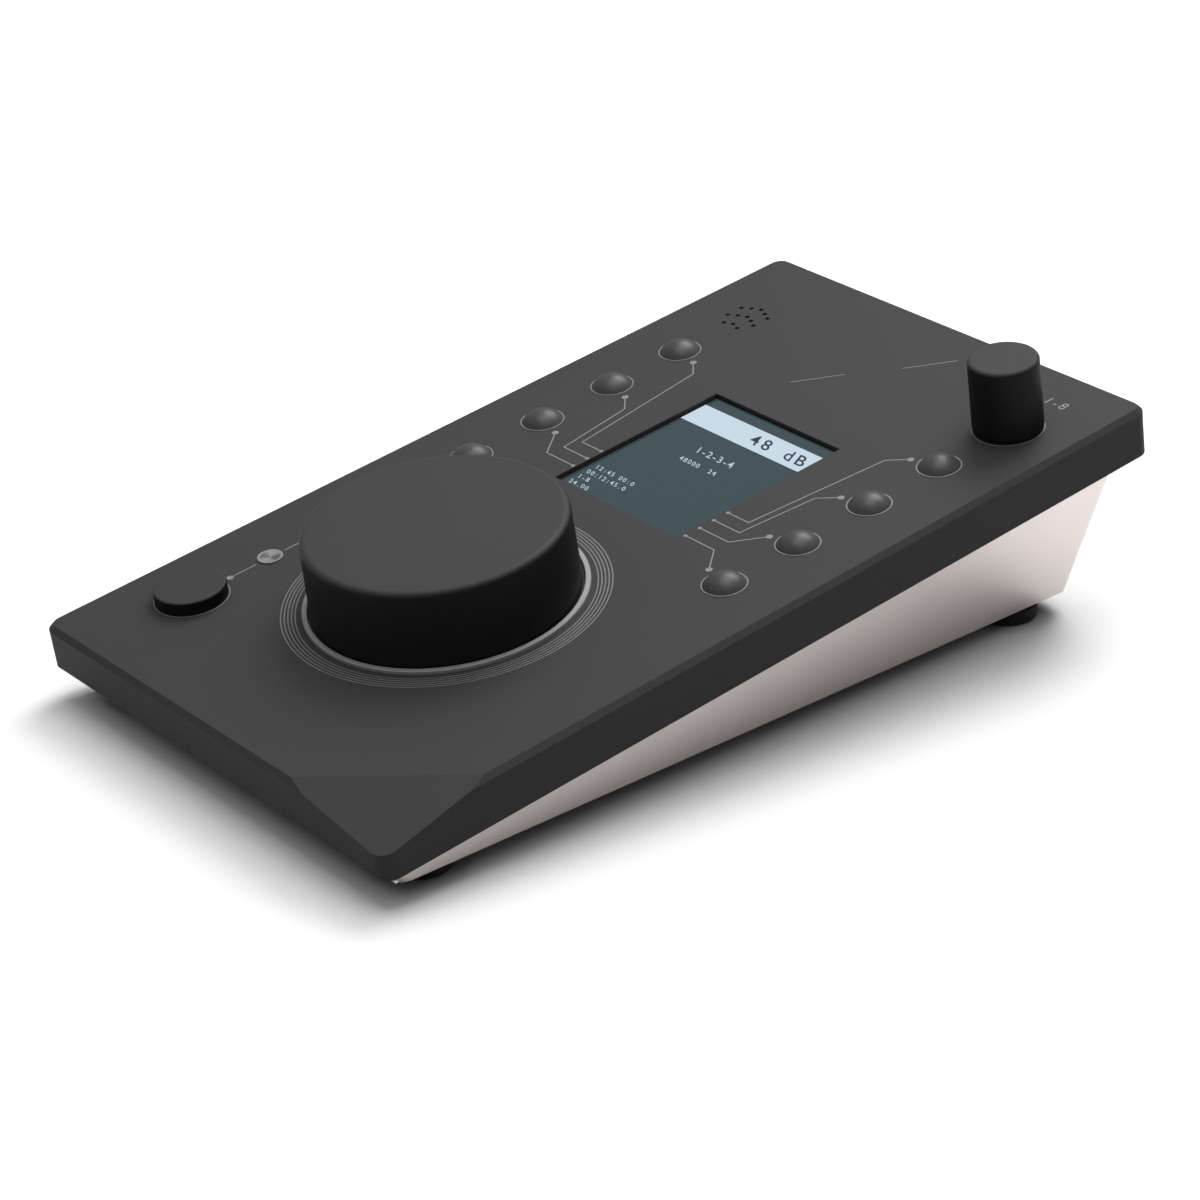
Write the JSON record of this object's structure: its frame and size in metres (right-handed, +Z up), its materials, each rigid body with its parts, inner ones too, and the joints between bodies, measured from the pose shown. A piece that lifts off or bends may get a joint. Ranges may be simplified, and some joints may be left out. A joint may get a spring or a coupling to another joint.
{
  "type": "studio monitor controller",
  "caption": "Desktop studio monitor controller with a tilted metal panel, a large volume knob, a small select knob, push buttons and a recessed display on a wedge base.",
  "frame": {"origin": "on the desk under the middle of the case, at the bottom centre of the bounding box", "axes": "+Z up, +X to the user's right along the panel's width, +Y away from the user from the low front to the high rear"},
  "size_m": [0.13, 0.2278, 0.0708],
  "materials": {
    "panel_black": "bead-blasted, black anodised",
    "base_champagne": "bead-blasted, champagne anodised",
    "cover_black": "fine black powder coat",
    "foot_rubber": "moulded",
    "screw_steel": "zinc plated",
    "board_green": "solder mask over glass fibre laminate",
    "standoff_brass": "turned",
    "chip_black": "moulded",
    "switch_black": "moulded",
    "lens_glass": "polished",
    "screen": "lit display",
    "foam_grey": "closed-cell foam",
    "frame_black": "moulded",
    "ribbon_amber": "polyimide film",
    "ribbon_grey": "flat ribbon cable",
    "encoder_metal": "nickel plated",
    "shaft_steel": "ground",
    "knob_black": "turned, black anodised",
    "ring_bright": "turned bright",
    "ring_satin": "turned satin",
    "button_black": "black anodised, satin",
    "disc_spun": "spun face",
    "microphone_metal": "pressed can",
    "socket_black": "moulded",
    "contact_gold": "gold plated",
    "inlet_steel": "drawn shell"
  },
  "bodies": {
    "case": {"top_plate": "panel_black", "base_shell": "base_champagne", "bottom_cover": "cover_black", "cover_screws": "screw_steel", "foot_front_left": "foot_rubber", "foot_front_right": "foot_rubber", "foot_rear_left": "foot_rubber", "foot_rear_right": "foot_rubber", "panel_screws": "screw_steel", "control_board": "board_green", "board_standoffs": "standoff_brass", "board_screws": "screw_steel", "board_parts": "chip_black", "dome_switches": "switch_black", "round_button_switch": "switch_black", "display_lens": "lens_glass", "display_screen": "screen", "display_pad": "foam_grey", "display_frame": "frame_black", "display_ribbon": "ribbon_amber", "volume_encoder": "encoder_metal", "volume_nut": "encoder_metal", "volume_trim_ring": "ring_bright", "select_encoder": "encoder_metal", "select_nut": "encoder_metal", "select_ring": "ring_satin", "round_button_ring": "ring_satin", "dome_rings": "ring_satin", "status_disc": "disc_spun", "microphone": "microphone_metal", "microphone_gasket": "foam_grey", "rear_board": "board_green", "rear_board_posts": "standoff_brass", "rear_board_screws": "screw_steel", "link_socket": "socket_black", "link_contacts": "contact_gold", "power_inlet": "inlet_steel", "link_ribbon": "ribbon_grey", "link_header": "chip_black"},
    "volume": {"volume_knob": "knob_black", "volume_shaft": "shaft_steel", "volume_grub_screw": "screw_steel"},
    "select_push": {"select_plunger": "switch_black"},
    "select": {"select_knob": "knob_black", "select_shaft": "shaft_steel", "select_grub_screw": "screw_steel"},
    "round_button": {"round_button": "button_black"},
    "dome_left_1": {"dome_left_1": "button_black"},
    "dome_left_2": {"dome_left_2": "button_black"},
    "dome_left_3": {"dome_left_3": "button_black"},
    "dome_left_4": {"dome_left_4": "button_black"},
    "dome_right_1": {"dome_right_1": "button_black"},
    "dome_right_2": {"dome_right_2": "button_black"},
    "dome_right_3": {"dome_right_3": "button_black"},
    "dome_right_4": {"dome_right_4": "button_black"}
  },
  "joints": [
    {"name": "volume_turn", "type": "hinge", "parent": "case", "child": "volume", "pos_m": [0, -0.04673, 0.03004], "axis": [0, -0.158, 0.9874], "continuous": true},
    {"name": "select_press", "type": "slide", "parent": "case", "child": "select_push", "axis": [0, 0.158, -0.9874], "range_m": [0, 0.0005], "stiffness_N_per_m": 2500, "springref_m": -0.001},
    {"name": "select_turn", "type": "hinge", "parent": "select_push", "child": "select", "pos_m": [0.0464, 0.08415, 0.05099], "axis": [0, -0.158, 0.9874], "continuous": true},
    {"name": "round_button_press", "type": "slide", "parent": "case", "child": "round_button", "axis": [0, 0.158, -0.9874], "range_m": [0, 0.0005], "stiffness_N_per_m": 2000, "springref_m": -0.001},
    {"name": "dome_left_1_press", "type": "slide", "parent": "case", "child": "dome_left_1", "axis": [0, 0.158, -0.9874], "range_m": [0, 0.0005], "stiffness_N_per_m": 1500, "springref_m": -0.001},
    {"name": "dome_left_2_press", "type": "slide", "parent": "case", "child": "dome_left_2", "axis": [0, 0.158, -0.9874], "range_m": [0, 0.0005], "stiffness_N_per_m": 1500, "springref_m": -0.001},
    {"name": "dome_left_3_press", "type": "slide", "parent": "case", "child": "dome_left_3", "axis": [0, 0.158, -0.9874], "range_m": [0, 0.0005], "stiffness_N_per_m": 1500, "springref_m": -0.001},
    {"name": "dome_left_4_press", "type": "slide", "parent": "case", "child": "dome_left_4", "axis": [0, 0.158, -0.9874], "range_m": [0, 0.0005], "stiffness_N_per_m": 1500, "springref_m": -0.001},
    {"name": "dome_right_1_press", "type": "slide", "parent": "case", "child": "dome_right_1", "axis": [0, 0.158, -0.9874], "range_m": [0, 0.0005], "stiffness_N_per_m": 1500, "springref_m": -0.001},
    {"name": "dome_right_2_press", "type": "slide", "parent": "case", "child": "dome_right_2", "axis": [0, 0.158, -0.9874], "range_m": [0, 0.0005], "stiffness_N_per_m": 1500, "springref_m": -0.001},
    {"name": "dome_right_3_press", "type": "slide", "parent": "case", "child": "dome_right_3", "axis": [0, 0.158, -0.9874], "range_m": [0, 0.0005], "stiffness_N_per_m": 1500, "springref_m": -0.001},
    {"name": "dome_right_4_press", "type": "slide", "parent": "case", "child": "dome_right_4", "axis": [0, 0.158, -0.9874], "range_m": [0, 0.0005], "stiffness_N_per_m": 1500, "springref_m": -0.001}
  ]
}
